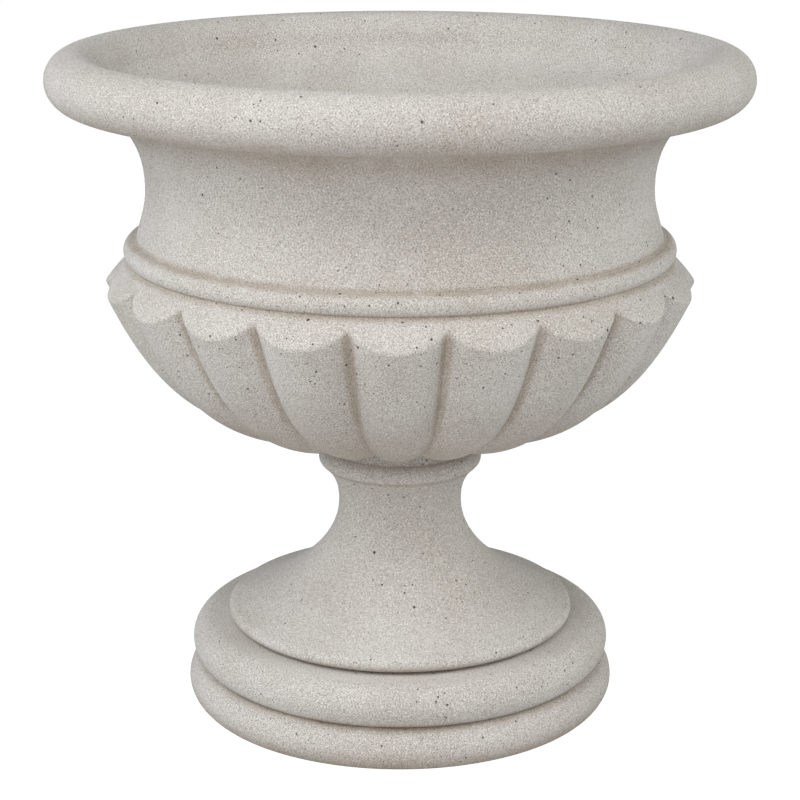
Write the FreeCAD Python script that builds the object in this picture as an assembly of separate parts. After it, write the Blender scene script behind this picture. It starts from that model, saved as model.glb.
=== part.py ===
"""Garden urn planter in cast stone, as it comes apart on a bench.

Three castings stand on one another: a ring-moulded base, a waisted pedestal and a gadrooned bowl
with a rolled rim. A hollow threaded tie tube runs down the middle, clamps them with a nut and a
washer at each end, and drains the bowl. Millimetres, +Z up, origin at the middle of the underside.
"""
import FreeCAD, Part
import math
import os

# ---- driving dimensions -------------------------------------------------------------------------

# base plinth: two stacked torus mouldings, the lower one cut flat where it stands
LOWER_TORUS_R, LOWER_TORUS_Z, LOWER_TORUS_RADIUS = 204.5, 18.0, 23.0
UPPER_TORUS_R, UPPER_TORUS_Z, UPPER_TORUS_RADIUS = 200.0, 61.5, 22.5
BASE_TOP = 84.0
BASE_RECESS_R = 75.0
BASE_RECESS_HEIGHT = 45.0
BASE_RECESS_TAPER = 4.0

# pedestal: bullnose foot edge, flared foot, waist, scotia and collar
FOOT_EDGE_R, FOOT_EDGE_RADIUS = 176.0, 7.5
FOOT_SLOPE_ANGLE = 14.5
FOOT_SLOPE_HANDLE = 42.0
WAIST_R, WAIST_Z = 64.8, 211.5
WAIST_LOWER_HANDLE = 57.5
WAIST_UPPER_HANDLE = 22.0
COLLAR_R, COLLAR_Z, COLLAR_RADIUS = 75.8, 259.5, 10.0
COLLAR_START_ANGLE = -50.0
COLLAR_END_ANGLE = 95.0
COLLAR_HANDLE = 12.0
SEAT_R = 71.0
PEDESTAL_TOP = 284.0

# bedding between the castings
BED_THICKNESS = 2.5
LOWER_BED_INSET = 6.0
UPPER_BED_INSET = 9.0

# bowl, outside: gadroons, sloping shoulder, bead, neck and rolled rim
LOBES = 20
GROOVE_RATIO_TOP = 0.928
GROOVE_RATIO_FOOT = 0.72
GROOVE_DEEPENING = 4
LOBE_FULLNESS = 0.48
LOBE_TOP_R, LOBE_TOP_Z = 304.0, 449.0
LOBE_TOP_LEAN = 25.0
LOBE_TOP_HANDLE = 103.0
LOBE_FOOT_R = 88.0
LOBE_FOOT_LEAN = 7.0
LOBE_FOOT_HANDLE = 130.0
LOBE_SECTIONS = 11
LOBE_OVERRUN = 36.0
LOBE_EDGE_ROUNDING = 3.5
SHOULDER_MID_R, SHOULDER_MID_Z = 290.5, 465.5
SHOULDER_RUN_OUT, SHOULDER_RUN_OUT_ANGLE = 24.0, -60.0
BEAD_R, BEAD_Z, BEAD_RADIUS = 271.8, 487.0, 11.0
BEAD_START_ANGLE = -60.0
BEAD_END_ANGLE = 100.0
NECK_R, NECK_Z = 258.7, 552.0
NECK_LOWER_HANDLE = 22.0
NECK_START_ANGLE = 105.0
NECK_UPPER_HANDLE = 37.0
COVE_HANDLE_R, COVE_HANDLE_Z = 275.0, 628.0
RIM_R, RIM_Z, RIM_RADIUS = 327.0, 661.0, 28.0
RIM_START_ANGLE = -112.0

# bowl, inside
HOLLOW_NECK_R = 222.0
HOLLOW_NECK_TOP = 572.0
HOLLOW_NECK_BOTTOM = 470.0
HOLLOW_LIP_HANDLE = 33.0
HOLLOW_NECK_HANDLE = 52.0
HOLLOW_SIDE_HANDLE = 92.0
HOLLOW_FLOOR_HANDLE = 88.0
FLOOR_R, FLOOR_Z = 62.0, 334.0

# drain well in the bowl's floor, with a ledge for the strainer
WELL_R, WELL_DEPTH = 44.0, 27.0
LEDGE_R, LEDGE_DEPTH = 52.0, 4.5

# tie tube and its fittings
TUBE_R, TUBE_BORE_R = 17.0, 13.0
CORE_HOLE_R = 18.5
NUT_ACROSS_FLATS, NUT_HEIGHT = 50.0, 12.0
NUT_CHAMFER = 1.5
WASHER_R, WASHER_THICKNESS = 36.0, 3.0
SEAL_THICKNESS = 3.0
TUBE_STAND_OUT = 3.0
TUBE_CHAMFER = 0.8
STRAINER_CLEARANCE = 0.8
STRAINER_THICKNESS = 3.5
STRAINER_SKIRT_R, STRAINER_SKIRT_WALL = 40.0, 2.5
STRAINER_SKIRT_HEIGHT = 12.0
STRAINER_RINGS = ((14.0, 8), (25.0, 14), (35.0, 20))
STRAINER_HOLE_R = 2.6

# how far a cutting shape runs past the face that it cuts
CUT_MARGIN = 1.0

# ---- derived heights ----------------------------------------------------------------------------

FOOT_BOTTOM = BASE_TOP + BED_THICKNESS
FOOT_EDGE_Z = FOOT_BOTTOM + FOOT_EDGE_RADIUS
BOWL_BOTTOM = PEDESTAL_TOP + BED_THICKNESS
WELL_FLOOR = FLOOR_Z - WELL_DEPTH
SEAL_TOP = WELL_FLOOR + SEAL_THICKNESS
UPPER_WASHER_TOP = SEAL_TOP + WASHER_THICKNESS
UPPER_NUT_TOP = UPPER_WASHER_TOP + NUT_HEIGHT
LOWER_WASHER_BOTTOM = BASE_RECESS_HEIGHT - WASHER_THICKNESS
LOWER_NUT_BOTTOM = LOWER_WASHER_BOTTOM - NUT_HEIGHT
TUBE_TOP = UPPER_NUT_TOP + TUBE_STAND_OUT
TUBE_BOTTOM = LOWER_NUT_BOTTOM - TUBE_STAND_OUT
LEDGE_Z = FLOOR_Z - LEDGE_DEPTH

AXIS = FreeCAD.Vector(0, 0, 1)
ORIGIN = FreeCAD.Vector(0, 0, 0)


# ---- drawing helpers ----------------------------------------------------------------------------

def at(r, z):
    """A point of the half section: distance from the axis, and height."""
    return FreeCAD.Vector(r, 0, z)


def polar(centre_r, centre_z, radius, degrees):
    """A point on a circle of the half section."""
    turn = math.radians(degrees)
    return at(centre_r + radius * math.cos(turn), centre_z + radius * math.sin(turn))


def step_from(point, length, degrees):
    """A point a given length away from another, in a given direction of the half section."""
    turn = math.radians(degrees)
    return at(point.x + length * math.cos(turn), point.z + length * math.sin(turn))


def arc(centre_r, centre_z, radius, start, end):
    middle = (start + end) / 2
    points = [polar(centre_r, centre_z, radius, angle) for angle in (start, middle, end)]
    return Part.Arc(*points).toShape()


def curve(*poles):
    bezier = Part.BezierCurve()
    bezier.setPoles(list(poles))
    return bezier.toShape()


def line(start, end):
    return Part.LineSegment(start, end).toShape()


def turned(edges):
    """The solid swept by a closed half section in one full turn about the axis."""
    face = Part.Face(Part.Wire(edges))
    return face.revolve(ORIGIN, AXIS, 360)


def cylinder(radius, bottom, top):
    return Part.makeCylinder(radius, top - bottom, at(0, bottom), AXIS)


def ring(outer_r, inner_r, bottom, top):
    return cylinder(outer_r, bottom, top).cut(cylinder(inner_r, bottom, top))


def circles_meet(r1, z1, radius1, r2, z2, radius2):
    """The outer of the two points where two circles of the half section cross."""
    gap = math.hypot(r2 - r1, z2 - z1)
    along = (gap ** 2 + radius1 ** 2 - radius2 ** 2) / (2 * gap)
    across = math.sqrt(radius1 ** 2 - along ** 2)
    ur, uz = (r2 - r1) / gap, (z2 - z1) / gap
    return at(r1 + along * ur + across * uz, z1 + along * uz - across * ur)


def angle_to(centre_r, centre_z, point):
    return math.degrees(math.atan2(point.z - centre_z, point.x - centre_r))


# ---- base ---------------------------------------------------------------------------------------

def base_plinth():
    crease = circles_meet(LOWER_TORUS_R, LOWER_TORUS_Z, LOWER_TORUS_RADIUS,
                          UPPER_TORUS_R, UPPER_TORUS_Z, UPPER_TORUS_RADIUS)
    stand_angle = -math.degrees(math.asin(LOWER_TORUS_Z / LOWER_TORUS_RADIUS))
    land_angle = 180 - math.degrees(math.asin((BASE_TOP - UPPER_TORUS_Z) / UPPER_TORUS_RADIUS))
    lower = arc(LOWER_TORUS_R, LOWER_TORUS_Z, LOWER_TORUS_RADIUS, stand_angle,
                angle_to(LOWER_TORUS_R, LOWER_TORUS_Z, crease))
    upper = arc(UPPER_TORUS_R, UPPER_TORUS_Z, UPPER_TORUS_RADIUS,
                angle_to(UPPER_TORUS_R, UPPER_TORUS_Z, crease), land_angle)
    stand = polar(LOWER_TORUS_R, LOWER_TORUS_Z, LOWER_TORUS_RADIUS, stand_angle)
    land = polar(UPPER_TORUS_R, UPPER_TORUS_Z, UPPER_TORUS_RADIUS, land_angle)
    recess_mouth = at(BASE_RECESS_R + BASE_RECESS_TAPER, 0)
    recess_top = at(BASE_RECESS_R, BASE_RECESS_HEIGHT)
    core_bottom = at(CORE_HOLE_R, BASE_RECESS_HEIGHT)
    core_top = at(CORE_HOLE_R, BASE_TOP)
    return turned([
        line(recess_mouth, stand), lower, upper, line(land, core_top), line(core_top, core_bottom),
        line(core_bottom, recess_top), line(recess_top, recess_mouth),
    ])


# ---- pedestal -----------------------------------------------------------------------------------

def pedestal():
    edge_top_angle = 90 - FOOT_SLOPE_ANGLE
    edge_top = polar(FOOT_EDGE_R, FOOT_EDGE_Z, FOOT_EDGE_RADIUS, edge_top_angle)
    edge = arc(FOOT_EDGE_R, FOOT_EDGE_Z, FOOT_EDGE_RADIUS, -90, edge_top_angle)
    waist = at(WAIST_R, WAIST_Z)
    flare = curve(edge_top, step_from(edge_top, FOOT_SLOPE_HANDLE, 180 - FOOT_SLOPE_ANGLE),
                  step_from(waist, WAIST_LOWER_HANDLE, -90), waist)
    collar_start = polar(COLLAR_R, COLLAR_Z, COLLAR_RADIUS, COLLAR_START_ANGLE)
    scotia = curve(waist, step_from(waist, WAIST_UPPER_HANDLE, 90),
                   step_from(collar_start, COLLAR_HANDLE, COLLAR_START_ANGLE - 90), collar_start)
    collar_end = polar(COLLAR_R, COLLAR_Z, COLLAR_RADIUS, COLLAR_END_ANGLE)
    collar = arc(COLLAR_R, COLLAR_Z, COLLAR_RADIUS, COLLAR_START_ANGLE, COLLAR_END_ANGLE)
    seat = at(SEAT_R, PEDESTAL_TOP)
    core_top = at(CORE_HOLE_R, PEDESTAL_TOP)
    core_bottom = at(CORE_HOLE_R, FOOT_BOTTOM)
    foot_bottom = at(FOOT_EDGE_R, FOOT_BOTTOM)
    return turned([
        edge, flare, scotia, collar, line(collar_end, seat), line(seat, core_top),
        line(core_top, core_bottom), line(core_bottom, foot_bottom),
    ])


# ---- bowl ---------------------------------------------------------------------------------------

def lobe_crest_curve():
    """The line down the middle of a gadroon, from the scalloped edge to the bowl's underside."""
    top = at(LOBE_TOP_R, LOBE_TOP_Z)
    foot = at(LOBE_FOOT_R, BOWL_BOTTOM)
    bezier = Part.BezierCurve()
    bezier.setPoles([
        top, step_from(top, LOBE_TOP_HANDLE, -90 - LOBE_TOP_LEAN),
        step_from(foot, LOBE_FOOT_HANDLE, LOBE_FOOT_LEAN), foot,
    ])
    return bezier


def groove_ratio(down):
    """Groove radius over crest radius, for a share of the way down from the lobe's top to its foot."""
    return GROOVE_RATIO_TOP - (GROOVE_RATIO_TOP - GROOVE_RATIO_FOOT) * down ** GROOVE_DEEPENING


def lobed_section(crest_r, z, ratio):
    """One level cut through all the gadroons: a full curve for each, meeting at sharp grooves."""
    half_pitch = math.pi / LOBES
    groove_x = crest_r * ratio * math.sin(half_pitch)
    groove_y = crest_r * ratio * math.cos(half_pitch)
    # a cubic with both its handles at this distance passes through the crest at its middle
    handle_y = (4 * crest_r - groove_y) / 3
    handle_x = LOBE_FULLNESS * groove_x

    def spot(x, y, turn):
        across, along = math.cos(turn), math.sin(turn)
        return FreeCAD.Vector(x * across + y * along, x * along - y * across, z)

    curves = []
    for lobe in range(LOBES):
        turn = 2 * half_pitch * lobe
        curves.append(curve(spot(-groove_x, groove_y, turn), spot(-handle_x, handle_y, turn),
                            spot(handle_x, handle_y, turn), spot(groove_x, groove_y, turn)))
    return Part.Wire(curves)


def gadroon_body():
    """The lobed underside, run on above the scalloped edge for the shoulder to cut."""
    crest = lobe_crest_curve()
    over = step_from(at(LOBE_TOP_R, LOBE_TOP_Z), LOBE_OVERRUN, 90 - LOBE_TOP_LEAN)
    sections = [lobed_section(over.x, over.z, GROOVE_RATIO_TOP)]
    for step in range(LOBE_SECTIONS):
        down = step / (LOBE_SECTIONS - 1)
        point = crest.value(down)
        sections.append(lobed_section(point.x, point.z, groove_ratio(down)))
    sections.reverse()
    return Part.makeLoft(sections, True, False)


def shoulder_envelope():
    """All that lies under the sloping shoulder, which cuts the gadroons off in scallops."""
    meets_bead = polar(BEAD_R, BEAD_Z, BEAD_RADIUS, BEAD_START_ANGLE)
    lobe_top = at(LOBE_TOP_R, LOBE_TOP_Z)
    slope = Part.Arc(meets_bead, at(SHOULDER_MID_R, SHOULDER_MID_Z), lobe_top).toShape()
    outside = step_from(lobe_top, SHOULDER_RUN_OUT, SHOULDER_RUN_OUT_ANGLE)
    below = BOWL_BOTTOM - CUT_MARGIN
    return turned([
        line(at(0, below), at(outside.x, below)), line(at(outside.x, below), outside),
        line(outside, lobe_top), slope, line(meets_bead, at(0, meets_bead.z)),
        line(at(0, meets_bead.z), at(0, below)),
    ])


def upper_body():
    """Bead, neck and rolled rim, solid to the axis until the hollow is cut."""
    bead_start = polar(BEAD_R, BEAD_Z, BEAD_RADIUS, BEAD_START_ANGLE)
    bead_end = polar(BEAD_R, BEAD_Z, BEAD_RADIUS, BEAD_END_ANGLE)
    neck = at(NECK_R, NECK_Z)
    rim_start = polar(RIM_R, RIM_Z, RIM_RADIUS, RIM_START_ANGLE)
    rim_inside = at(RIM_R - RIM_RADIUS, RIM_Z)
    return turned([
        arc(BEAD_R, BEAD_Z, BEAD_RADIUS, BEAD_START_ANGLE, BEAD_END_ANGLE),
        curve(bead_end, step_from(bead_end, NECK_LOWER_HANDLE, NECK_START_ANGLE),
              step_from(neck, NECK_LOWER_HANDLE, -90), neck),
        curve(neck, step_from(neck, NECK_UPPER_HANDLE, 90), at(COVE_HANDLE_R, COVE_HANDLE_Z), rim_start),
        arc(RIM_R, RIM_Z, RIM_RADIUS, RIM_START_ANGLE, 180),
        line(rim_inside, at(0, RIM_Z)), line(at(0, RIM_Z), at(0, bead_start.z)),
        line(at(0, bead_start.z), bead_start),
    ])


def hollow():
    """The planting space, from the rim's inner side down to the floor."""
    lip = at(RIM_R - RIM_RADIUS, RIM_Z)
    neck_top = at(HOLLOW_NECK_R, HOLLOW_NECK_TOP)
    neck_bottom = at(HOLLOW_NECK_R, HOLLOW_NECK_BOTTOM)
    floor_edge = at(FLOOR_R, FLOOR_Z)
    return turned([
        line(at(0, RIM_Z), lip),
        curve(lip, step_from(lip, HOLLOW_LIP_HANDLE, -90),
              step_from(neck_top, HOLLOW_NECK_HANDLE, 90), neck_top),
        line(neck_top, neck_bottom),
        curve(neck_bottom, step_from(neck_bottom, HOLLOW_SIDE_HANDLE, -90),
              step_from(floor_edge, HOLLOW_FLOOR_HANDLE, 0), floor_edge),
        line(floor_edge, at(0, FLOOR_Z)), line(at(0, FLOOR_Z), at(0, RIM_Z)),
    ])


def scallop_edges(body):
    """The edges round the tops of the gadroons, where they meet the sloping shoulder: two to a lobe."""
    groove_top = polar(BEAD_R, BEAD_Z, BEAD_RADIUS, BEAD_START_ANGLE).z
    longest = math.pi * LOBE_TOP_R / LOBES
    chosen = []
    for edge in body.Edges:
        box = edge.BoundBox
        on_shoulder = box.ZMin > LOBE_TOP_Z - CUT_MARGIN and box.ZMax < groove_top - CUT_MARGIN
        if on_shoulder and box.ZLength > LOBE_EDGE_ROUNDING and edge.Length < 2 * longest:
            chosen.append(edge)
    return chosen


def bowl():
    gadroons = gadroon_body().common(shoulder_envelope())
    edges = scallop_edges(gadroons)
    print("scallop edges:", len(edges))
    try:
        rounded = gadroons.makeFillet(LOBE_EDGE_ROUNDING, edges)
        if rounded.isValid():
            gadroons = rounded
            print("scallop edges rounded")
    except Part.OCCError as problem:
        print("scallop edges left sharp:", problem)
    body = gadroons.fuse(upper_body()).cut(hollow())
    body = body.cut(cylinder(LEDGE_R, LEDGE_Z, FLOOR_Z + CUT_MARGIN))
    body = body.cut(cylinder(WELL_R, WELL_FLOOR, FLOOR_Z + CUT_MARGIN))
    return body.cut(cylinder(CORE_HOLE_R, BOWL_BOTTOM - CUT_MARGIN, FLOOR_Z))


# ---- bedding, tie tube and fittings -------------------------------------------------------------

def lower_bed():
    return ring(FOOT_EDGE_R - LOWER_BED_INSET, CORE_HOLE_R, BASE_TOP, FOOT_BOTTOM)


def upper_bed():
    return ring(SEAT_R - UPPER_BED_INSET, CORE_HOLE_R, PEDESTAL_TOP, BOWL_BOTTOM)


def tie_tube():
    tube = ring(TUBE_R, TUBE_BORE_R, TUBE_BOTTOM, TUBE_TOP)
    inner_end = 2 * math.pi * (TUBE_R + TUBE_BORE_R) / 2
    outer_ends = [edge for edge in tube.Edges if edge.Closed and edge.Length > inner_end]
    return tube.makeChamfer(TUBE_CHAMFER, outer_ends)


def hex_nut(bottom):
    top = bottom + NUT_HEIGHT
    corner_r = NUT_ACROSS_FLATS / math.sqrt(3)
    corners = []
    for corner in range(7):
        turn = math.pi / 3 * corner
        corners.append(FreeCAD.Vector(corner_r * math.cos(turn), corner_r * math.sin(turn), bottom))
    prism = Part.Face(Part.makePolygon(corners)).extrude(AXIS * NUT_HEIGHT)
    flat_r = NUT_ACROSS_FLATS / 2
    crown_r = flat_r + 2 * NUT_CHAMFER
    half_section = [at(0, bottom), at(flat_r, bottom), at(crown_r, bottom + NUT_CHAMFER),
                    at(crown_r, top - NUT_CHAMFER), at(flat_r, top), at(0, top)]
    closing = half_section[1:] + half_section[:1]
    crown = turned([line(start, end) for start, end in zip(half_section, closing)])
    return prism.common(crown).cut(cylinder(TUBE_R, bottom, top))


def drain_strainer():
    """A round drilled plate with a short skirt, let into the ledge over the drain well."""
    plate_bottom = LEDGE_Z
    plate_top = plate_bottom + STRAINER_THICKNESS
    plate = cylinder(LEDGE_R - STRAINER_CLEARANCE, plate_bottom, plate_top)
    skirt = ring(STRAINER_SKIRT_R, STRAINER_SKIRT_R - STRAINER_SKIRT_WALL,
                 plate_bottom - STRAINER_SKIRT_HEIGHT, plate_bottom)
    body = plate.fuse(skirt)
    drill_bottom = plate_bottom - CUT_MARGIN
    drill_length = STRAINER_THICKNESS + 2 * CUT_MARGIN
    for circle_r, count in STRAINER_RINGS:
        for hole in range(count):
            turn = 2 * math.pi * hole / count
            centre = FreeCAD.Vector(circle_r * math.cos(turn), circle_r * math.sin(turn), drill_bottom)
            body = body.cut(Part.makeCylinder(STRAINER_HOLE_R, drill_length, centre, AXIS))
    return body.removeSplitter()


NODES = {
    "base_plinth": base_plinth,
    "pedestal": pedestal,
    "bowl": bowl,
    "base_mortar_bed": lower_bed,
    "bowl_mortar_bed": upper_bed,
    "tie_tube": tie_tube,
    "well_seal": lambda: ring(WASHER_R, TUBE_R, WELL_FLOOR, SEAL_TOP),
    "upper_washer": lambda: ring(WASHER_R, TUBE_R, SEAL_TOP, UPPER_WASHER_TOP),
    "upper_nut": lambda: hex_nut(UPPER_WASHER_TOP),
    "lower_washer": lambda: ring(WASHER_R, TUBE_R, LOWER_WASHER_BOTTOM, BASE_RECESS_HEIGHT),
    "lower_nut": lambda: hex_nut(LOWER_NUT_BOTTOM),
    "drain_strainer": drain_strainer,
}


def main():
    os.makedirs("parts", exist_ok=True)
    for name, make in NODES.items():
        shape = make()
        shape.exportStep(os.path.join("parts", name + ".step"))
        box = shape.BoundBox
        print(name, "valid", shape.isValid(), "solids", len(shape.Solids),
              "litres %.3f" % (shape.Volume / 1e6),
              "r %.1f z %.1f..%.1f" % (box.XMax, box.ZMin, box.ZMax))


main()
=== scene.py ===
import math

import bpy
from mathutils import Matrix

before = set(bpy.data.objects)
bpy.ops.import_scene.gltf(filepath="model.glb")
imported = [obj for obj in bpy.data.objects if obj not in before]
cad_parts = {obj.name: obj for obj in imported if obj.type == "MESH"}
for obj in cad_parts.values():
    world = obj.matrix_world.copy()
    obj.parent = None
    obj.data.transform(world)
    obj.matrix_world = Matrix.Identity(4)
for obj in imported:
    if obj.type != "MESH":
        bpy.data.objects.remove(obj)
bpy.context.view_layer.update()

# ---- camera: the photograph's place, in metres and degrees ----------------------------------------

IMAGE_SIDE = 800
FOCAL_PIXELS = 2166.6
SENSOR_WIDTH = 36.0
CAMERA_DISTANCE = 2.185
CAMERA_HEIGHT = 0.955
CAMERA_PITCH = 16.23
CAMERA_TURN = 0.5
FARTHEST_SEEN = 100.0

# ---- colours of the pieces, as linear values ------------------------------------------------------

STONE_PALE = (0.700, 0.672, 0.632, 1)
STONE_MID = (0.640, 0.604, 0.552, 1)
GRAIN_DARK = (0.160, 0.142, 0.122, 1)
GRAIN_WARM = (0.450, 0.395, 0.325, 1)
GRAIN_LIGHT = (0.930, 0.920, 0.890, 1)
# Painted shade in the air holes: the pits are coloured towards this near-black.
HOLE_DARK = (0.050, 0.045, 0.040, 1)
# Painted shade: the stone's colour is multiplied by this tint in its creases, grooves and under its
# overhangs.
PAINTED_SHADE_TINT = (0.740, 0.685, 0.620, 1)
MORTAR_PALE = (0.420, 0.400, 0.365, 1)
MORTAR_DARK = (0.235, 0.220, 0.200, 1)
STEEL = (0.560, 0.560, 0.565, 1)
STEEL_DULL = (0.330, 0.330, 0.335, 1)
RUBBER = (0.022, 0.022, 0.023, 1)
RUBBER_BLOOM = (0.055, 0.055, 0.056, 1)
PLASTIC = (0.030, 0.030, 0.031, 1)
PLASTIC_SCUFF = (0.085, 0.085, 0.086, 1)

# ---- cast stone: sizes in metres, pattern scales in waves per metre -------------------------------

PASTE_SCALE = 11.0
FINE_GRAIN, MEDIUM_GRAIN, WARM_GRAIN = 1250.0, 820.0, 600.0
GRAIN_CONTRAST = 1.3
GRAIN_DEPTH = 0.0005
UNEVEN_SCALE, UNEVEN_DEPTH = 38.0, 0.0010
SMALL_HOLES = {"Spacing": 0.0085, "Radius": 0.00095}
LARGE_HOLES = {"Spacing": 0.0205, "Radius": 0.0014}
HOLE_SHARE, PEDESTAL_HOLE_SHARE = 0.75, 0.95
HOLE_CROWDING_SCALE, HOLE_DEPTH = 9.0, 0.0014
# How far the air holes are painted towards HOLE_DARK, as painted shade in the pits.
HOLE_SHADE_AMOUNT = 0.9
# Patches in the painted shade: their scale, the least strength, and what the patches add to it.
SHADE_PATCH_SCALE = 30.0
SHADE_LEAST, SHADE_PATCHES = 0.45, 0.4
STONE_ROUGHNESS, STONE_SPECULAR = 0.92, 0.25

# Where each casting's block of the pattern lies, so that no two castings look alike.
BOWL_SHIFT = (0.0, 0.0, 0.0)
PEDESTAL_SHIFT = (0.37, 0.11, 0.0)
BASE_SHIFT = (0.13, 0.53, 0.0)

# ---- where shade is painted: (level, half width) of each ring, in metres --------------------------

# The gadroons' grooves, where shade is painted, and the level where that painted shade fades out.
LOBES = 20
GROOVE_TOP, GROOVE_FADE = 0.474, 0.02
BOWL_SHADE_RINGS = ((0.3000, 0.090),      # the bowl's underside, a broad shade
                (0.4765, 0.005),      # under the bead
                (0.4985, 0.005),      # over the bead
                (0.6250, 0.038))      # the cove under the rim, a broad shade
PEDESTAL_SHADE_RINGS = ((0.0880, 0.006),  # under the foot edge
                    (0.2510, 0.004))  # under the collar
BASE_SHADE_RINGS = ((0.0000, 0.026),      # the foot of the base, a broad shade
                (0.0420, 0.008))      # between the two ring mouldings

# ---- mortar and fittings: roughness, what wear adds to it, and pattern scales ---------------------

MORTAR_ROUGHNESS = 0.95
SAND_SCALE, PATCH_SCALE = 520.0, 45.0
STEEL_ROUGHNESS, STEEL_WEAR, STEEL_SCUFF_SCALE = 0.30, 0.25, 120.0
RUBBER_ROUGHNESS, PLASTIC_ROUGHNESS = 0.7, 0.5
BLACK_WEAR, BLACK_SCUFF_SCALE = 0.15, 70.0

# ---- floor, background and lamps: metres, watts and linear values ---------------------------------

WHITE = (1, 1, 1, 1)
FLOOR_SIDE = 40
FLOOR_PALE = (0.70, 0.70, 0.70, 1)
FLOOR_NEAR, FLOOR_FAR = 1.2, 3.2
FLOOR_GLOW_NEAR, FLOOR_GLOW_FAR = 0.80, 1.0
FILL_WARM = (1.0, 0.945, 0.880, 1)
FILL_STRENGTH = 0.02
FRONT_WARM = (1.0, 0.935, 0.860)
FRONT_COOL = (0.957, 0.962, 1.0)
LEFT_COOL = (0.889, 0.939, 1.0)
RIGHT_COOL = (0.967, 0.987, 1.0)
LAMP_AIM = (0.0, 0.0, 0.35)

# Each softbox: name, place, side, power and colour.
SOFTBOXES = (("front_softbox", (-0.6, -2.35, 1.75), 2.0, 23.0, FRONT_WARM),
             ("low_softbox", (-0.2, -3.0, 0.70), 1.2, 9.0, FRONT_COOL),
             ("front_high_softbox", (-0.5, -1.7, 3.0), 1.6, 20.8, FRONT_COOL),
             ("left_softbox", (-2.6, -0.6, 1.9), 2.0, 48.0, LEFT_COOL),
             ("right_softbox", (2.6, -0.6, 1.9), 2.0, 46.0, RIGHT_COOL))

# ---- kinds of group socket ------------------------------------------------------------------------

VECTOR = "NodeSocketVector"
COLOUR = "NodeSocketColor"
NUMBER = "NodeSocketFloat"


# ---- node helpers ---------------------------------------------------------------------------------

def new_group(name, inputs, outputs):
    """An empty shader node group. Sockets are {name: kind}, or {name: (kind, default)} for an input."""
    group = bpy.data.node_groups.new(name, "ShaderNodeTree")
    for label, kind in inputs.items():
        kind, default = kind if isinstance(kind, tuple) else (kind, None)
        socket = group.interface.new_socket(name=label, in_out="INPUT", socket_type=kind)
        if default is not None:
            socket.default_value = default
    for label, kind in outputs.items():
        group.interface.new_socket(name=label, in_out="OUTPUT", socket_type=kind)
    start = group.nodes.new("NodeGroupInput")
    end = group.nodes.new("NodeGroupOutput")
    return group, start.outputs, end.inputs


def add_node(tree, kind, inputs=None, **settings):
    """A node with its settings, and with its inputs given as values or as sockets to link from."""
    node = tree.nodes.new(kind)
    for name, value in settings.items():
        setattr(node, name, value)
    for key, value in (inputs or {}).items():
        if isinstance(value, bpy.types.NodeSocket):
            tree.links.new(value, node.inputs[key])
        else:
            node.inputs[key].default_value = value
    return node


def place_group(tree, group, inputs):
    """One of the shared effects, placed in a material with its own values."""
    return add_node(tree, "ShaderNodeGroup", inputs, node_tree=group)


def math_node(tree, operation, first, second=0.0):
    return add_node(tree, "ShaderNodeMath", {0: first, 1: second}, operation=operation).outputs[0]


def vector_node(tree, operation, output, *inputs):
    node = add_node(tree, "ShaderNodeVectorMath", dict(enumerate(inputs)), operation=operation)
    return node.outputs[output]


def add_share(tree, base, mask, share):
    """The base plus a share of the mask."""
    return math_node(tree, "ADD", base, math_node(tree, "MULTIPLY", mask, share))


def ramp(tree, value, low, high):
    """0 at low and 1 at high, with a soft step between; low may be the larger of the two."""
    node = add_node(tree, "ShaderNodeMapRange", {"Value": value, "From Min": low, "From Max": high},
                    interpolation_type="SMOOTHSTEP")
    return node.outputs["Result"]


def mix_colour(tree, amount, first, second, blend="MIX"):
    """The Mix node's colour sockets are found by number, because its names repeat."""
    node = add_node(tree, "ShaderNodeMix", {0: amount, 6: first, 7: second},
                    data_type="RGBA", blend_type=blend)
    return node.outputs[2]


def noise(tree, place, scale, detail, roughness):
    node = add_node(tree, "ShaderNodeTexNoise",
                    {"Vector": place, "Scale": scale, "Detail": detail, "Roughness": roughness})
    return node.outputs["Fac"]


def bump(tree, height, strength, distance, normal=None):
    inputs = {"Height": height, "Strength": strength, "Distance": distance}
    if normal is not None:
        inputs["Normal"] = normal
    return add_node(tree, "ShaderNodeBump", inputs).outputs["Normal"]


def split_place(tree, place):
    """The X, Y and Z of a place, each by its name."""
    return add_node(tree, "ShaderNodeSeparateXYZ", {0: place}).outputs


# ---- shared effects -------------------------------------------------------------------------------

def make_grain_group():
    """Salt-and-pepper aggregate: dark, warm and light specks of about a millimetre in a pale paste."""
    group, given, made = new_group(
        "stone_grain",
        {"Place": VECTOR, "Paste": (COLOUR, STONE_PALE), "Shade": (COLOUR, STONE_MID), "Contrast": NUMBER},
        {"Colour": COLOUR, "Height": NUMBER})
    place = given["Place"]
    tone = ramp(group, noise(group, place, PASTE_SCALE, detail=3.0, roughness=0.55), 0.36, 0.64)
    colour = mix_colour(group, tone, given["Paste"], given["Shade"])
    fine = noise(group, place, FINE_GRAIN, detail=1.0, roughness=0.5)
    medium = noise(group, place, MEDIUM_GRAIN, detail=1.0, roughness=0.5)
    warm = noise(group, place, WARM_GRAIN, detail=1.0, roughness=0.5)
    specks = ((ramp(group, warm, 0.56, 0.70), 0.40, GRAIN_WARM),
              (ramp(group, medium, 0.54, 0.66), 0.60, GRAIN_LIGHT),
              (ramp(group, fine, 0.57, 0.68), 0.55, GRAIN_DARK),
              (ramp(group, medium, 0.42, 0.30), 0.48, GRAIN_DARK))
    for mask, share, tint in specks:
        amount = math_node(group, "MULTIPLY", math_node(group, "MULTIPLY", mask, share), given["Contrast"])
        colour = mix_colour(group, amount, colour, tint)
    group.links.new(colour, made["Colour"])
    group.links.new(add_share(group, medium, fine, 0.6), made["Height"])
    return group


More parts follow.
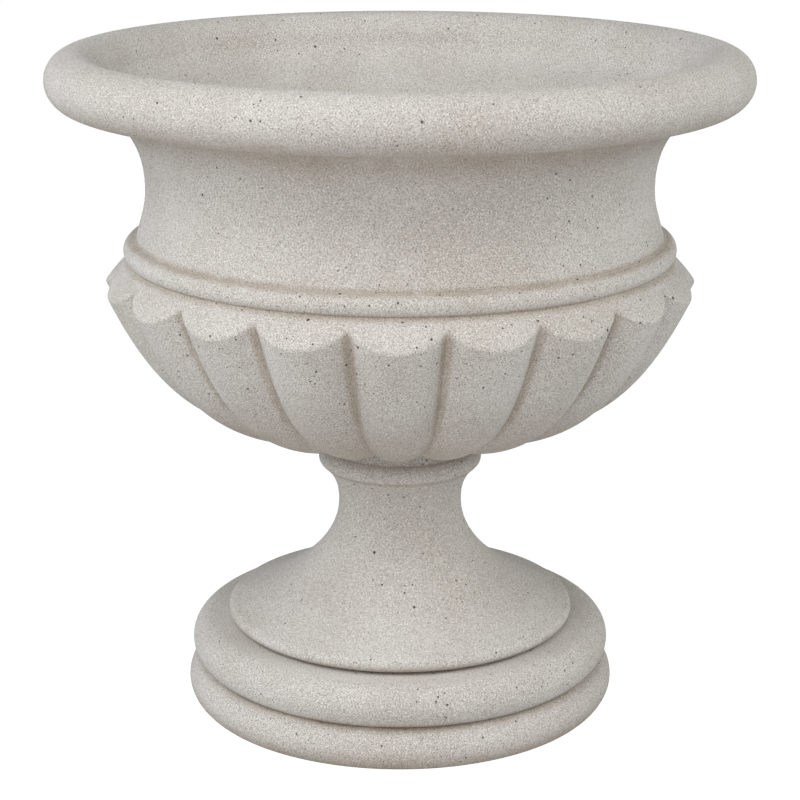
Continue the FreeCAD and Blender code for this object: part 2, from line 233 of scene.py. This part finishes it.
def make_hole_group():
    """Air holes left by the mould: sparse round pits, mostly a millimetre or two across."""
    group, given, made = new_group(
        "air_holes",
        {"Place": VECTOR, "Spacing": NUMBER, "Share": NUMBER, "Radius": NUMBER},
        {"Mask": NUMBER})
    per_metre = math_node(group, "DIVIDE", 1.0, given["Spacing"])
    cells = add_node(group, "ShaderNodeTexVoronoi", {"Vector": given["Place"], "Scale": per_metre},
                     feature="F1")
    lot = add_node(group, "ShaderNodeSeparateColor", {"Color": cells.outputs["Color"]}).outputs
    chosen = math_node(group, "LESS_THAN", lot[0], given["Share"])
    distance = math_node(group, "MULTIPLY", cells.outputs["Distance"], given["Spacing"])
    size = math_node(group, "MULTIPLY", given["Radius"], math_node(group, "ADD", 0.45, lot[1]))
    inside = math_node(group, "SUBTRACT", 1.0, math_node(group, "DIVIDE", distance, size))
    group.links.new(math_node(group, "MULTIPLY", chosen, ramp(group, inside, 0.0, 0.45)), made["Mask"])
    return group


def make_crease_shade_group():
    """Painted shade in a crease or ring that runs round a casting at one level, faded out on both sides."""
    group, given, made = new_group(
        "crease_painted_shade",
        {"Place": VECTOR, "Level": NUMBER, "Half Width": NUMBER},
        {"Mask": NUMBER})
    above = math_node(group, "SUBTRACT", split_place(group, given["Place"])["Z"], given["Level"])
    away = math_node(group, "DIVIDE", math_node(group, "ABSOLUTE", above), given["Half Width"])
    group.links.new(ramp(group, away, 1.0, 0.0), made["Mask"])
    return group


def make_groove_shade_group():
    """Painted shade in the grooves between gadroons: one lobe faces -Y, and the tops fade out at a level."""
    group, given, made = new_group(
        "groove_painted_shade",
        {"Place": VECTOR, "Lobes": NUMBER, "Top": NUMBER},
        {"Mask": NUMBER})
    parts = split_place(group, given["Place"])
    facing = math_node(group, "MULTIPLY", parts["Y"], -1.0)
    turn = math_node(group, "ARCTAN2", parts["X"], facing)
    wave = math_node(group, "COSINE", math_node(group, "MULTIPLY", turn, given["Lobes"]))
    under = math_node(group, "SUBTRACT", given["Top"], parts["Z"])
    mask = math_node(group, "MULTIPLY", ramp(group, wave, -0.86, -1.0), ramp(group, under, 0.0, GROOVE_FADE))
    group.links.new(mask, made["Mask"])
    return group


def make_outside_group():
    """White where a face looks away from the urn's axis, black where it looks into the bowl."""
    group, given, made = new_group(
        "outside_faces",
        {"Place": VECTOR, "Facing": VECTOR},
        {"Mask": NUMBER})
    level = vector_node(group, "MULTIPLY", "Vector", given["Place"], (1.0, 1.0, 0.0))
    away = vector_node(group, "NORMALIZE", "Vector", level)
    lean = vector_node(group, "DOT_PRODUCT", "Value", away, given["Facing"])
    group.links.new(ramp(group, lean, -0.08, 0.12), made["Mask"])
    return group


def make_scuff_group():
    """Scuffing that runs no particular way, as a mask, for steel, rubber and plastic."""
    group, given, made = new_group(
        "scuffing",
        {"Place": VECTOR, "Scale": NUMBER, "Amount": NUMBER},
        {"Mask": NUMBER})
    broad = noise(group, given["Place"], given["Scale"], detail=6.0, roughness=0.65)
    closer = math_node(group, "MULTIPLY", given["Scale"], 7.0)
    fine = noise(group, given["Place"], closer, detail=2.0, roughness=0.5)
    both = add_share(group, math_node(group, "MULTIPLY", broad, 0.7), fine, 0.3)
    mask = math_node(group, "MULTIPLY", ramp(group, both, 0.42, 0.66), given["Amount"])
    group.links.new(mask, made["Mask"])
    return group


GRAIN = make_grain_group()
AIR_HOLES = make_hole_group()
CREASE_SHADE = make_crease_shade_group()
GROOVE_SHADE = make_groove_shade_group()
OUTSIDE_FACES = make_outside_group()
SCUFFING = make_scuff_group()


# ---- materials ------------------------------------------------------------------------------------

def new_material(name):
    """A material, its node tree, the inputs of its shader, and a place in the object's coordinates."""
    material = bpy.data.materials.new(name)
    material.use_nodes = True
    tree = material.node_tree
    place = add_node(tree, "ShaderNodeTexCoord").outputs["Object"]
    return material, tree, tree.nodes["Principled BSDF"].inputs, place


def painted_shade_mask(tree, place, creases, lobed):
    """Painted shade for one casting: its creases and shaded rings, and the gadroons' grooves where it has
    them.
    """
    mask = 0.0
    for level, half_width in creases:
        crease = place_group(tree, CREASE_SHADE, {"Place": place, "Level": level, "Half Width": half_width})
        mask = math_node(tree, "MAXIMUM", crease.outputs["Mask"], mask)
    if lobed:
        groove = place_group(tree, GROOVE_SHADE, {"Place": place, "Lobes": float(LOBES), "Top": GROOVE_TOP})
        mask = math_node(tree, "MAXIMUM", groove.outputs["Mask"], mask)
    # The painted shade is kept to faces that look outward, then broken into patches of differing strength.
    facing = add_node(tree, "ShaderNodeTexCoord").outputs["Normal"]
    outside = place_group(tree, OUTSIDE_FACES, {"Place": place, "Facing": facing})
    mask = math_node(tree, "MULTIPLY", mask, outside.outputs["Mask"])
    patchy = ramp(tree, noise(tree, place, SHADE_PATCH_SCALE, detail=3.0, roughness=0.6), 0.25, 0.60)
    return math_node(tree, "MULTIPLY", mask, add_share(tree, SHADE_LEAST, patchy, SHADE_PATCHES))


def cast_stone(name, shift, hole_share, creases, lobed=False):
    """Acid-etched cast stone: grain, air holes, painted shade in its creases and pits, and a faintly uneven
    face.
    """
    material, tree, shader, place = new_material(name)
    moved = add_node(tree, "ShaderNodeMapping", {"Vector": place, "Location": shift}).outputs[0]
    grain = place_group(tree, GRAIN, {"Place": moved, "Contrast": GRAIN_CONTRAST})
    crowding = ramp(tree, noise(tree, moved, HOLE_CROWDING_SCALE, detail=2.0, roughness=0.5), 0.38, 0.62)
    share = math_node(tree, "MULTIPLY", crowding, hole_share)
    small = place_group(tree, AIR_HOLES, {"Place": moved, "Share": share, **SMALL_HOLES})
    large = place_group(tree, AIR_HOLES, {"Place": moved, "Share": share, **LARGE_HOLES})
    holes = math_node(tree, "MAXIMUM", small.outputs["Mask"], large.outputs["Mask"])
    shade_paint = painted_shade_mask(tree, place, creases, lobed)
    # Painted shade: the creases, grooves and overhangs are darkened with the tint.
    shade_painted_colour = mix_colour(tree, shade_paint, grain.outputs["Colour"], PAINTED_SHADE_TINT, "MULTIPLY")
    # The air holes are painted dark, as painted shade in the pits.
    colour = mix_colour(tree, math_node(tree, "MULTIPLY", holes, HOLE_SHADE_AMOUNT), shade_painted_colour, HOLE_DARK)
    uneven = noise(tree, moved, UNEVEN_SCALE, detail=3.0, roughness=0.5)
    normal = bump(tree, uneven, 0.25, UNEVEN_DEPTH)
    normal = bump(tree, grain.outputs["Height"], 0.55, GRAIN_DEPTH, normal)
    normal = bump(tree, math_node(tree, "SUBTRACT", 1.0, holes), 1.0, HOLE_DEPTH, normal)
    tree.links.new(colour, shader["Base Color"])
    tree.links.new(normal, shader["Normal"])
    shader["Roughness"].default_value = STONE_ROUGHNESS
    shader["Specular IOR Level"].default_value = STONE_SPECULAR
    return material


def bedding_mortar():
    """Sandy mortar in broad pale and dark patches."""
    material, tree, shader, place = new_material("bedding_mortar")
    sand = noise(tree, place, SAND_SCALE, detail=3.0, roughness=0.6)
    patch = noise(tree, place, PATCH_SCALE, detail=3.0, roughness=0.55)
    both = add_share(tree, math_node(tree, "MULTIPLY", sand, 0.6), patch, 0.4)
    colour = mix_colour(tree, ramp(tree, both, 0.36, 0.64), MORTAR_DARK, MORTAR_PALE)
    tree.links.new(colour, shader["Base Color"])
    tree.links.new(bump(tree, sand, 0.6, 0.0006), shader["Normal"])
    shader["Roughness"].default_value = MORTAR_ROUGHNESS
    return material


def turned_steel():
    """Turned stainless steel, dulled and roughened where it is scuffed."""
    material, tree, shader, place = new_material("turned_steel")
    scuffs = place_group(tree, SCUFFING, {"Place": place, "Scale": STEEL_SCUFF_SCALE, "Amount": 0.7})
    worn = scuffs.outputs["Mask"]
    tree.links.new(mix_colour(tree, worn, STEEL, STEEL_DULL), shader["Base Color"])
    tree.links.new(add_share(tree, STEEL_ROUGHNESS, worn, STEEL_WEAR), shader["Roughness"])
    tree.links.new(bump(tree, worn, 0.15, 0.0002), shader["Normal"])
    shader["Metallic"].default_value = 1.0
    return material


def dull_black(name, clean, scuffed, roughness):
    """Matt black rubber or plastic, paler and rougher where it is scuffed."""
    material, tree, shader, place = new_material(name)
    scuffs = place_group(tree, SCUFFING, {"Place": place, "Scale": BLACK_SCUFF_SCALE, "Amount": 0.6})
    worn = scuffs.outputs["Mask"]
    tree.links.new(mix_colour(tree, worn, clean, scuffed), shader["Base Color"])
    tree.links.new(add_share(tree, roughness, worn, BLACK_WEAR), shader["Roughness"])
    tree.links.new(bump(tree, worn, 0.2, 0.0003), shader["Normal"])
    return material


def finish_node(name, material):
    """Gives a casting or a fitting its finish."""
    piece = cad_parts[name]
    piece.data.materials.clear()
    piece.data.materials.append(material)


bowl_stone = cast_stone("cast_stone_bowl", BOWL_SHIFT, HOLE_SHARE, BOWL_SHADE_RINGS, lobed=True)
pedestal_stone = cast_stone("cast_stone_pedestal", PEDESTAL_SHIFT, PEDESTAL_HOLE_SHARE, PEDESTAL_SHADE_RINGS)
base_stone = cast_stone("cast_stone_base", BASE_SHIFT, HOLE_SHARE, BASE_SHADE_RINGS)
finish_node("bowl", bowl_stone)
finish_node("pedestal", pedestal_stone)
finish_node("base_plinth", base_stone)
mortar = bedding_mortar()
for bed in ("base_mortar_bed", "bowl_mortar_bed"):
    finish_node(bed, mortar)
steel = turned_steel()
for fitting in ("tie_tube", "upper_washer", "upper_nut", "lower_washer", "lower_nut"):
    finish_node(fitting, steel)
finish_node("well_seal", dull_black("seal_rubber", RUBBER, RUBBER_BLOOM, RUBBER_ROUGHNESS))
finish_node("drain_strainer", dull_black("strainer_plastic", PLASTIC, PLASTIC_SCUFF, PLASTIC_ROUGHNESS))


# ---- floor, light and camera ----------------------------------------------------------------------

def background_rays(tree):
    """1 for rays that show the background: straight from the camera, by a reflection or through glass."""
    path = add_node(tree, "ShaderNodeLightPath").outputs
    indirect = math_node(tree, "MAXIMUM", path["Is Glossy Ray"], path["Is Transmission Ray"])
    return math_node(tree, "MAXIMUM", path["Is Camera Ray"], indirect)


def studio_floor():
    """A pale floor that takes the urn's shadow, and glows to white away from it."""
    bpy.ops.mesh.primitive_plane_add(size=FLOOR_SIDE)
    floor = bpy.context.object
    floor.name = "studio_floor"
    material = bpy.data.materials.new("studio_floor")
    material.use_nodes = True
    tree = material.node_tree
    tree.nodes.clear()
    plain = add_node(tree, "ShaderNodeBsdfDiffuse", {"Color": FLOOR_PALE})
    place = add_node(tree, "ShaderNodeTexCoord").outputs["Object"]
    reach = vector_node(tree, "LENGTH", "Value", place)
    rise = math_node(tree, "MULTIPLY", ramp(tree, reach, FLOOR_NEAR, FLOOR_FAR),
                     FLOOR_GLOW_FAR - FLOOR_GLOW_NEAR)
    strength = math_node(tree, "MULTIPLY", background_rays(tree),
                         math_node(tree, "ADD", rise, FLOOR_GLOW_NEAR))
    glow = add_node(tree, "ShaderNodeEmission", {"Color": WHITE, "Strength": strength})
    mixed = add_node(tree, "ShaderNodeAddShader", {0: plain.outputs[0], 1: glow.outputs[0]})
    add_node(tree, "ShaderNodeOutputMaterial", {"Surface": mixed.outputs[0]})
    floor.data.materials.append(material)


def studio_world():
    """White where the background is seen, and a faint warm fill as light."""
    world = bpy.data.worlds.new("studio_world")
    bpy.context.scene.world = world
    world.use_nodes = True
    tree = world.node_tree
    tree.nodes.clear()
    fill = add_node(tree, "ShaderNodeBackground", {"Color": FILL_WARM, "Strength": FILL_STRENGTH})
    white = add_node(tree, "ShaderNodeBackground", {"Color": WHITE, "Strength": 1.0})
    mixed = add_node(tree, "ShaderNodeMixShader",
                     {0: background_rays(tree), 1: fill.outputs[0], 2: white.outputs[0]})
    add_node(tree, "ShaderNodeOutputWorld", {"Surface": mixed.outputs[0]})


def place_in_scene(name, data, place, turn):
    holder = bpy.data.objects.new(name, data)
    bpy.context.scene.collection.objects.link(holder)
    holder.location = place
    holder.rotation_euler = turn
    return holder


def area_lamp(name, place, side, power, colour):
    """A square softbox turned to the middle of the urn."""
    lamp = bpy.data.lights.new(name, "AREA")
    lamp.shape = "SQUARE"
    lamp.size = side
    lamp.energy = power
    lamp.color = colour
    reach = [aim - start for aim, start in zip(LAMP_AIM, place)]
    tilt = math.atan2(math.hypot(reach[0], reach[1]), -reach[2])
    place_in_scene(name, lamp, place, (tilt, 0, math.atan2(reach[1], reach[0]) - math.pi / 2))


def photo_camera():
    """The photograph's camera: in front of the urn, turned a little round it and tilted down."""
    camera = bpy.data.cameras.new("photo_camera")
    camera.sensor_width = SENSOR_WIDTH
    camera.lens = FOCAL_PIXELS * SENSOR_WIDTH / IMAGE_SIDE
    camera.clip_end = FARTHEST_SEEN
    turn = math.radians(CAMERA_TURN)
    place = (CAMERA_DISTANCE * math.sin(turn), -CAMERA_DISTANCE * math.cos(turn), CAMERA_HEIGHT)
    bpy.context.scene.camera = place_in_scene(
        "photo_camera", camera, place, (math.radians(90 - CAMERA_PITCH), 0, turn))


studio_floor()
studio_world()
for softbox in SOFTBOXES:
    area_lamp(*softbox)
photo_camera()
bpy.context.scene.view_settings.view_transform = "Standard"
